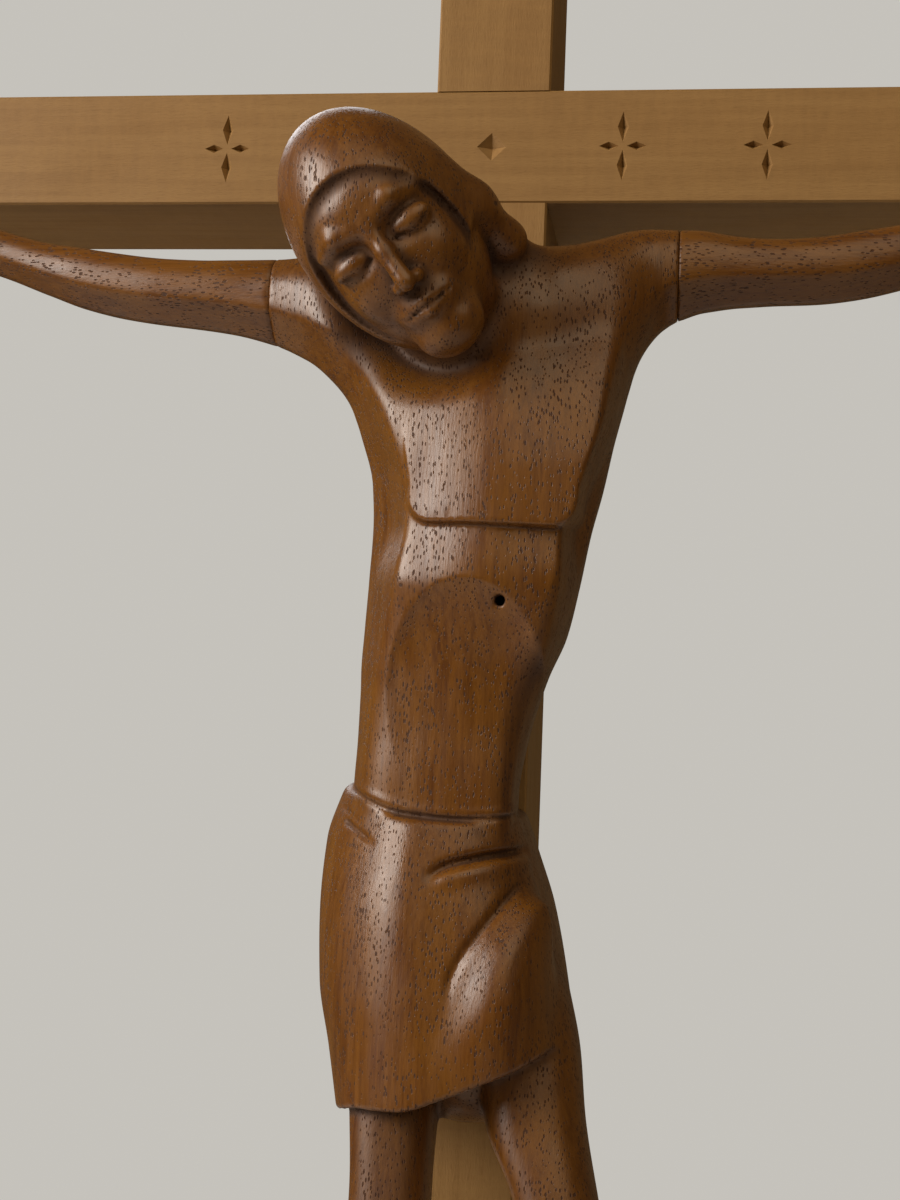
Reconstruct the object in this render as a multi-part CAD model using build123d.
"""Wall crucifix: a lap-jointed cross of light wood with a carved figure, arms dowelled on, and a ring hanger.

Millimetres. The origin is on the wall plane behind the crossing, at half the height of the crossbar.
+X runs to a viewer's right along the crossbar, +Y into the wall, +Z up. The cross fills Y from -30 to 0
and the figure stands in front of it. "Right" and "left" arm are the figure's own, so the right arm is at -X.
"""

from build123d import *
import os

# ---- the cross ----
STOCK_WIDTH = 20.0  # post width and crossbar height
STOCK_DEPTH = 30.0
BAR_LENGTH = 340.0
POST_TOP = 95.0
POST_BOTTOM = -405.0
LAP_DEPTH = STOCK_DEPTH / 2
EDGE_EASE = 0.35
FRONT = -STOCK_DEPTH  # the front face, which carries the figure

# ---- chip carving along the crossbar ----
CHIP_DEPTH = 1.3
DIAMOND = (5.2, 5.0)
PETAL_TALL = (1.9, 5.4)
PETAL_WIDE = (3.4, 1.5)
PETAL_GAP = 0.7
ROSETTES_X = (-47.5, -22.8, 22.8, 47.5)

# ---- the figure: sections as (height, middle x, half width, rear y, front y) ----
TORSO = (
    (-26.0, 0.0, 22.0, -33.0, -50.0),
    (-37.0, 2.0, 25.0, -27.0, -60.0),
    (-50.0, 2.2, 22.0, -27.0, -64.0),
    (-68.0, 2.3, 18.2, -28.0, -64.0),
    (-84.0, 0.4, 16.9, -31.0, -60.0),
    (-104.0, -3.0, 14.3, -32.0, -57.0),
    (-116.0, -4.0, 14.5, -31.0, -57.0),
)
LOINCLOTH = (
    (-109.5, -4.0, 14.6, -30.5, -58.0),
    (-118.0, -4.4, 17.7, -28.0, -62.0),
    (-131.0, -2.1, 19.3, -27.0, -64.0),
    (-146.0, 0.4, 20.0, -27.0, -67.0),
    (-160.0, 2.4, 20.2, -29.0, -70.0),
)
# Limbs: sections as (x, y, z, half width, half depth)
SHIN_AND_THIGH_RIGHT = (
    (-7.0, -50.0, -145.0, 9.5, 11.0),
    (-7.0, -59.0, -172.0, 6.9, 8.4),
    (-5.5, -66.0, -200.0, 6.2, 7.0),
    (-3.0, -62.0, -216.0, 6.0, 6.8),
    (0.5, -52.0, -244.0, 5.8, 6.4),
    (3.0, -43.0, -284.0, 3.9, 4.4),
)
SHIN_AND_THIGH_LEFT = (
    (10.0, -50.0, -145.0, 9.5, 11.0),
    (19.0, -59.0, -172.0, 6.6, 8.2),
    (23.0, -65.0, -198.0, 6.2, 7.0),
    (21.5, -61.0, -214.0, 6.0, 6.8),
    (14.5, -51.0, -242.0, 5.8, 6.4),
    (6.0, -40.0, -280.0, 3.9, 4.4),
)
FOOT_RIGHT = (
    (3.0, -43.2, -280.0, 4.2, 4.8),
    (2.4, -43.6, -294.0, 5.5, 4.4),
    (1.2, -42.6, -311.0, 5.6, 2.6),
)
FOOT_LEFT = (
    (6.0, -38.0, -278.0, 4.2, 4.6),
    (5.4, -35.0, -291.0, 5.2, 4.6),
    (4.6, -33.4, -306.0, 5.4, 3.6),
)
HEM_LOW = (-18.5, -159.0)
HEM_HIGH = (24.0, -145.0)
HEAD_CENTRE = (-9.6, -66.0, -25.5)
HEAD_RADII = (15.2, 17.0, 21.0)
HEAD_LEAN = -30.0  # towards the figure's right shoulder
HEAD_BOW = 18.0
NECK_ROOT = (0.0, -46.0, -38.0)
NECK_RADIUS = 9.0

# ---- the arms: sections as (distance from the middle, y, z, half depth, half height) ----
SHOULDER_JOINT = 33.2
SHOULDER_DEPTH = -45.0
RIGHT_ARM = (
    (SHOULDER_JOINT, SHOULDER_DEPTH, -31.6, 6.6, 7.0),
    (47.0, -44.6, -30.2, 5.4, 5.6),
    (61.0, -43.2, -28.4, 5.2, 5.4),
    (76.0, -41.0, -24.8, 4.6, 4.5),
    (90.0, -39.2, -20.0, 4.4, 4.3),
    (106.0, -37.4, -13.6, 4.0, 4.1),
    (123.0, -35.2, -7.2, 3.2, 3.5),
)
LEFT_ARM = (
    (SHOULDER_JOINT, SHOULDER_DEPTH, -26.9, 6.6, 7.0),
    (47.0, -44.6, -26.0, 5.4, 5.5),
    (61.0, -43.2, -24.5, 5.2, 5.3),
    (76.0, -41.0, -20.9, 4.7, 4.8),
    (90.0, -39.2, -16.3, 4.4, 4.4),
    (106.0, -37.4, -10.6, 4.0, 4.1),
    (123.0, -35.2, -5.0, 3.2, 3.5),
)
# The hand: distance past the wrist, half depth, half height
HAND_SECTIONS = ((0.0, 3.2, 3.5), (8.0, 3.4, 5.6), (18.0, 3.2, 6.2), (33.0, 2.0, 4.4))
HAND_TILT = 0.18  # rise of the hand's middle per millimetre outwards
HAND_Y = -33.1

# ---- what holds it together ----
DOWEL_RADIUS = 3.0
DOWEL_HALF = 12.0
SCREW_HEIGHTS = (-62.0, -134.0)
SCREW_X = -1.0
SCREW_RADIUS = 1.75
SCREW_CLEARANCE = 1.95
SCREW_HEAD_RADIUS = 3.5
SCREW_HEAD_HEIGHT = 2.4
SCREW_SEAT = -9.0  # y of the bottom of the counterbore
SCREW_TIP = -45.0
COUNTERBORE_RADIUS = 4.2
NAIL_RADIUS = 0.8
NAIL_HEAD_RADIUS = 2.1
HAND_NAIL_X = 139.0
NAIL_GRIP = 12.0  # how far a nail goes into the cross
FOOT_NAIL = (3.0, -294.0)

# ---- the ring hanger in its pocket ----
POCKET_WIDTH = 16.0
POCKET_BOTTOM = 51.0
POCKET_TOP = 81.0
POCKET_DEPTH = 5.0
RING_AXIS = (-3.5, 66.0)  # y, z of the hinge line
RING_HALF_WIDTH = 6.0
RING_SIDE = 4.0
RING_CORNER = 1.6
WIRE_RADIUS = 0.7
KNUCKLE_BORE = 0.78
KNUCKLE_RADIUS = 1.5
STRAP_HALF_WIDTH = 3.6
STRAP_THICKNESS = 0.8
STRAP_LENGTH = 9.0
HANGER_SCREW_DROP = 6.2
HANGER_SCREW_RADIUS = 1.0
HANGER_SCREW_LENGTH = 9.0
HANGER_HEAD_RADIUS = 2.0
HANGER_HEAD_HEIGHT = 0.9


def block(x, y, z):
    """A box between two values on each axis."""
    return Pos(sum(x) / 2, sum(y) / 2, sum(z) / 2) * Box(abs(x[1] - x[0]), abs(y[1] - y[0]), abs(z[1] - z[0]))


def rod_y(radius, x, z, y):
    """A round rod along Y between two values of y."""
    return Pos(x, sum(y) / 2, z) * Rot(90, 0, 0) * Cylinder(radius, abs(y[1] - y[0]))


def rod_x(radius, y, z, x):
    """A round rod along X between two values of x."""
    return Pos(sum(x) / 2, y, z) * Rot(0, 90, 0) * Cylinder(radius, abs(x[1] - x[0]))


def across_z(sections):
    """A loft through ellipses that lie flat, given by middle x, half width and rear and front y."""
    return loft([
        Plane((x, (rear + front) / 2, z)) * Ellipse(half, (rear - front) / 2) for z, x, half, rear, front in sections
    ])


def along_z(sections):
    """A loft through flat ellipses given by their centres."""
    return loft([Plane((x, y, z)) * Ellipse(half_x, half_y) for x, y, z, half_x, half_y in sections])


def along_x(sections, side):
    """A loft through upright ellipses square to X; side is -1 or +1."""
    return loft([
        Plane((side * x, y, z), x_dir=(0, 1, 0), z_dir=(side, 0, 0)) * Ellipse(half_y, half_z)
        for x, y, z, half_y, half_z in sections
    ])


def in_front_of_cross(solid):
    """The figure is planed flat where it bears on the cross."""
    return solid - block((-200, 200), (FRONT, 20), (-450, 150))


def chip(x, z, width, height):
    """A sunk four-sided pyramid, pointing into the front face."""
    def outline(scale, y):
        plane = Plane((x, y, z), x_dir=(1, 0, 0), z_dir=(0, 1, 0))
        w, h = width / 2 * scale, height / 2 * scale
        return plane * make_face(Polyline((w, 0), (0, h), (-w, 0), (0, -h), close=True))

    over = 0.2
    return loft([outline(1 + over / CHIP_DEPTH, FRONT - over), outline(0.02, FRONT + CHIP_DEPTH)])


def rosette(x):
    """Four petals, two tall and two wide."""
    rise = PETAL_GAP + PETAL_TALL[1] / 2
    reach = PETAL_GAP + PETAL_WIDE[0] / 2
    petals = [chip(x, side * rise, *PETAL_TALL) for side in (-1, 1)]
    petals += [chip(x + side * reach, 0, *PETAL_WIDE) for side in (-1, 1)]
    return petals


def crossbar():
    half = BAR_LENGTH / 2
    bar = block((-half, half), (FRONT, 0), (-STOCK_WIDTH / 2, STOCK_WIDTH / 2))
    bar = chamfer(bar.edges(), EDGE_EASE)
    bar -= block((-STOCK_WIDTH / 2, STOCK_WIDTH / 2), (-LAP_DEPTH, 1), (-STOCK_WIDTH, STOCK_WIDTH))
    bar -= chip(0, 0, *DIAMOND)
    for x in ROSETTES_X:
        for petal in rosette(x):
            bar -= petal
    for side, z in hand_nail_places():
        bar -= rod_y(NAIL_RADIUS, side * HAND_NAIL_X, z, (FRONT - 1, FRONT + NAIL_GRIP))
    return bar


def post():
    half = STOCK_WIDTH / 2
    stick = block((-half, half), (FRONT, 0), (POST_BOTTOM, POST_TOP))
    stick = chamfer(stick.edges(), EDGE_EASE)
    stick -= block((-STOCK_WIDTH, STOCK_WIDTH), (FRONT - 1, -LAP_DEPTH), (-half, half))
    for z in SCREW_HEIGHTS:
        stick -= rod_y(SCREW_CLEARANCE, SCREW_X, z, (FRONT - 1, 1))
        stick -= rod_y(COUNTERBORE_RADIUS, SCREW_X, z, (SCREW_SEAT, 1))
    stick -= rod_y(NAIL_RADIUS, FOOT_NAIL[0], FOOT_NAIL[1], (FRONT - 1, FRONT + NAIL_GRIP))
    half_pocket = POCKET_WIDTH / 2
    stick -= block((-half_pocket, half_pocket), (-POCKET_DEPTH, 1), (POCKET_BOTTOM, POCKET_TOP))
    stick -= rod_y(HANGER_SCREW_RADIUS, 0, RING_AXIS[1] - HANGER_SCREW_DROP, hanger_screw_span())
    return stick


def shoulder_stub(arm, side):
    """The short root of an arm that belongs to the body block."""
    x, y, z, half_y, half_z = arm[0]
    inner = (14.0, y - 1.0, z - 4.0, half_y + 4.0, half_z + 4.0)
    return along_x((inner, (x - 9.0, y - 0.5, z - 1.2, half_y + 1.2, half_z + 1.6), arm[0]), side)


def loincloth():
    """The cloth, cut off along its slanting hem."""
    cloth = across_z(LOINCLOTH)
    (x0, z0), (x1, z1) = HEM_LOW, HEM_HIGH
    slope = (z1 - z0) / (x1 - x0)
    far = 60.0
    below = Polyline(
        (-far, z0 + slope * (-far - x0)), (far, z0 + slope * (far - x0)), (far, -260), (-far, -260), close=True
    )
    return cloth - extrude(Plane.XZ * make_face(below), amount=150, both=True)


def head():
    neck = loft([
        Plane(NECK_ROOT) * Circle(NECK_RADIUS + 2),
        Plane((HEAD_CENTRE[0] * 0.5, -54, -30)) * Circle(NECK_RADIUS),
    ])
    skull = scale(Sphere(1), by=HEAD_RADII)
    return neck + Pos(*HEAD_CENTRE) * Rot(0, HEAD_LEAN, 0) * Rot(HEAD_BOW, 0, 0) * skull


def corpus_body():
    body = across_z(TORSO) + loincloth() + head()
    for arm, side in ((RIGHT_ARM, -1), (LEFT_ARM, 1)):
        body += shoulder_stub(arm, side)
    for sections in (SHIN_AND_THIGH_RIGHT, SHIN_AND_THIGH_LEFT, FOOT_RIGHT, FOOT_LEFT):
        body += along_z(sections)
    body = in_front_of_cross(body)
    for dowel in (arm_dowel(RIGHT_ARM, -1), arm_dowel(LEFT_ARM, 1)):
        body -= dowel
    for z in SCREW_HEIGHTS:
        body -= rod_y(SCREW_RADIUS, SCREW_X, z, (FRONT + 1, SCREW_TIP))
    body -= rod_y(NAIL_RADIUS, FOOT_NAIL[0], FOOT_NAIL[1], (-80, FRONT + 1))
    body -= foot_nail_seat()
    return body


def hand(arm, side):
    wrist_x, _, wrist_z, _, _ = arm[-1]
    sections = [
        (wrist_x + x, HAND_Y, wrist_z + HAND_TILT * x, half_y, half_z) for x, half_y, half_z in HAND_SECTIONS
    ]
    sections[0] = arm[-1]
    return along_x(sections, side)


def arm_piece(arm, side, nail_z):
    piece = in_front_of_cross(along_x(arm, side) + hand(arm, side))
    piece -= arm_dowel(arm, side)
    piece -= rod_y(NAIL_RADIUS, side * HAND_NAIL_X, nail_z, (-60, FRONT + 1))
    return piece - rod_y(NAIL_HEAD_RADIUS, side * HAND_NAIL_X, nail_z, (-60, hand_nail_seat()))


def arm_dowel(arm, side):
    _, y, z, _, _ = arm[0]
    ends = sorted((side * (SHOULDER_JOINT - DOWEL_HALF), side * (SHOULDER_JOINT + DOWEL_HALF)))
    return rod_x(DOWEL_RADIUS, y, z, ends)


def hand_nail_places():
    """Side and height of the nail through each hand."""
    past_wrist = HAND_NAIL_X - RIGHT_ARM[-1][0]
    return [(side, arm[-1][2] + HAND_TILT * past_wrist) for arm, side in ((RIGHT_ARM, -1), (LEFT_ARM, 1))]


def hand_nail_seat():
    """The y at which a nail's head sits down on the hand."""
    return HAND_Y - 2.6


def nail(x, z, seat):
    """A round-headed nail, driven along +Y, with its head on the given y."""
    shank = rod_y(NAIL_RADIUS, x, z, (seat - 0.1, FRONT + NAIL_GRIP))
    crown = NAIL_HEAD_RADIUS * 1.25
    dome = Pos(x, seat + (crown**2 - NAIL_HEAD_RADIUS**2) ** 0.5, z) * Sphere(crown)
    dome &= rod_y(NAIL_HEAD_RADIUS, x, z, (seat - 3, seat))
    return shank + dome


def foot_nail_y():
    return FOOT_RIGHT[1][1] - FOOT_RIGHT[1][4] + 0.6


def foot_nail_seat():
    return rod_y(NAIL_HEAD_RADIUS, FOOT_NAIL[0], FOOT_NAIL[1], (-80, foot_nail_y()))


def wood_screw(z):
    """A countersunk wood screw from the rear of the post into the figure."""
    shank = rod_y(SCREW_RADIUS, SCREW_X, z, (SCREW_TIP, SCREW_SEAT + 0.1))
    head_plane = Plane((SCREW_X, SCREW_SEAT, z), x_dir=(1, 0, 0), z_dir=(0, 1, 0))
    screw_head = loft([
        head_plane * Circle(SCREW_CLEARANCE),
        head_plane.offset(SCREW_HEAD_HEIGHT) * Circle(SCREW_HEAD_RADIUS),
    ])
    slot = block((SCREW_X - 4, SCREW_X + 4), (SCREW_SEAT + SCREW_HEAD_HEIGHT - 1, 0), (z - 0.5, z + 0.5))
    return shank + screw_head - slot


def hanger_screw_span():
    top = -POCKET_DEPTH + STRAP_THICKNESS
    return (top - HANGER_SCREW_LENGTH, top)


def hanger_screw():
    z = RING_AXIS[1] - HANGER_SCREW_DROP
    bottom, top = hanger_screw_span()
    shank = rod_y(HANGER_SCREW_RADIUS, 0, z, (bottom, top + 0.1))
    pan = rod_y(HANGER_HEAD_RADIUS, 0, z, (top, top + HANGER_HEAD_HEIGHT))
    slot = block((-3, 3), (top + HANGER_HEAD_HEIGHT / 2, 0), (z - 0.3, z + 0.3))
    return shank + pan - slot


def hanger_ring():
    """A wire ring with a straight side, which is its hinge pin."""
    y, z = RING_AXIS
    plane = Plane((0, y, z), x_dir=(1, 0, 0), z_dir=(0, -1, 0))
    wide, tall = RING_HALF_WIDTH, RING_SIDE + RING_HALF_WIDTH
    crown = RING_HALF_WIDTH - 0.01
    corners = ((wide, 0), (wide, tall), (-wide, tall), (-wide, 0))
    outline = FilletPolyline(*corners, radius=[RING_CORNER, crown, crown, RING_CORNER], close=True)
    path = plane * outline
    return sweep(Plane(origin=path @ 0, z_dir=path % 0) * Circle(WIRE_RADIUS), path=path)


def hanger_strap():
    """A strip folded round the ring's straight side, screwed to the bottom of the pocket."""
    y, z = RING_AXIS
    span = (-STRAP_HALF_WIDTH, STRAP_HALF_WIDTH)
    floor = -POCKET_DEPTH
    plate = block(span, (floor, floor + STRAP_THICKNESS), (z - STRAP_LENGTH, z))
    strap = plate + rod_x(KNUCKLE_RADIUS, y, z, span) - rod_x(KNUCKLE_BORE, y, z, (-5, 5))
    return strap - rod_y(HANGER_SCREW_RADIUS, 0, z - HANGER_SCREW_DROP, (floor - 1, 0))


def export_all():
    os.makedirs("parts", exist_ok=True)
    places = dict((side, z) for side, z in hand_nail_places())
    nodes = {
        "post": post(),
        "crossbar": crossbar(),
        "corpus_body": corpus_body(),
        "right_arm": arm_piece(RIGHT_ARM, -1, places[-1]),
        "left_arm": arm_piece(LEFT_ARM, 1, places[1]),
        "right_arm_dowel": arm_dowel(RIGHT_ARM, -1),
        "left_arm_dowel": arm_dowel(LEFT_ARM, 1),
        "hand_nails": Compound(
            children=[nail(side * HAND_NAIL_X, z, hand_nail_seat()) for side, z in hand_nail_places()]
        ),
        "foot_nail": nail(*FOOT_NAIL, foot_nail_y()),
        "corpus_screws": Compound(children=[wood_screw(z) for z in SCREW_HEIGHTS]),
        "hanger_strap": hanger_strap(),
        "hanger_ring": hanger_ring(),
        "hanger_screw": hanger_screw(),
    }
    for name, shape in nodes.items():
        export_step(shape, f"parts/{name}.step")


export_all()
